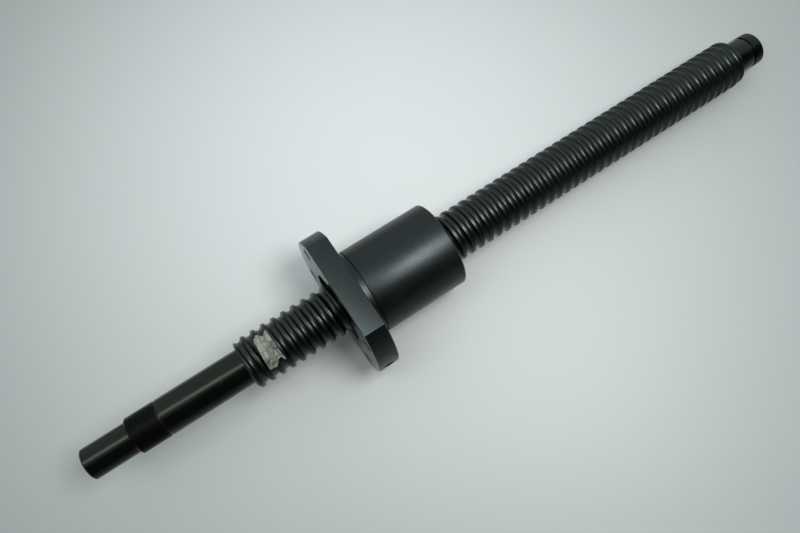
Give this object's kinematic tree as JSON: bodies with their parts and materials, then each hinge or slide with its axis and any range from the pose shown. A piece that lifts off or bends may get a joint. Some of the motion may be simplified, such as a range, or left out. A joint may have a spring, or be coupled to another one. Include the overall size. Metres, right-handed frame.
{
  "type": "ball screw",
  "caption": "Ball screw with stepped journals and a flanged nut that runs along its helical raceway on recirculating balls.",
  "frame": {"origin": "on the shaft's axis, in the plane of the flange's seating face, with the nut at rest", "axes": "+X along the shaft from the drive end to the supported end, +Z square to the flange's flats"},
  "size_m": [0.4395, 0.08, 0.06],
  "materials": {
    "shaft_steel": "black oxide with a thin oil film, ground to a gloss",
    "nut_steel": "black oxide, fine ground, satin",
    "wiper_plastic": "moulded",
    "cover_steel": "blackened sheet steel",
    "tube_steel": "drawn and bent",
    "strap_steel": "pressed sheet",
    "screw_steel": "black oxide",
    "ball_steel": "polished",
    "label_paper": "torn paper, stained with oil"
  },
  "bodies": {
    "screw": {"screw_shaft": "shaft_steel", "label_remnant": "label_paper"},
    "seal_covers": {"seal_cover_front": "cover_steel", "seal_cover_rear": "cover_steel"},
    "nut": {"nut_body": "nut_steel", "wiper_front": "wiper_plastic", "wiper_rear": "wiper_plastic", "return_tube_front": "tube_steel", "return_tube_rear": "tube_steel", "tube_strap": "strap_steel", "strap_screw": "screw_steel", "strap_washer": "strap_steel", "balls_front_turn_1": "ball_steel", "balls_front_turn_2": "ball_steel", "balls_front_half_turn": "ball_steel", "balls_front_return": "ball_steel", "balls_rear_turn_1": "ball_steel", "balls_rear_turn_2": "ball_steel", "balls_rear_half_turn": "ball_steel", "balls_rear_return": "ball_steel"}
  },
  "joints": [
    {"name": "nut_travel", "type": "slide", "parent": "screw", "child": "seal_covers", "axis": [1, 0, 0], "range_m": [-0.055, 0.21]},
    {"name": "nut_turn", "type": "hinge", "parent": "seal_covers", "child": "nut", "pos_m": [0, 0, 0], "axis": [1, 0, 0], "range_deg": [-3300.5, 12600.5]}
  ],
  "couplings": [
    {"joint": "nut_turn", "follows": "nut_travel", "rad_per_m": 1047.2}
  ]
}
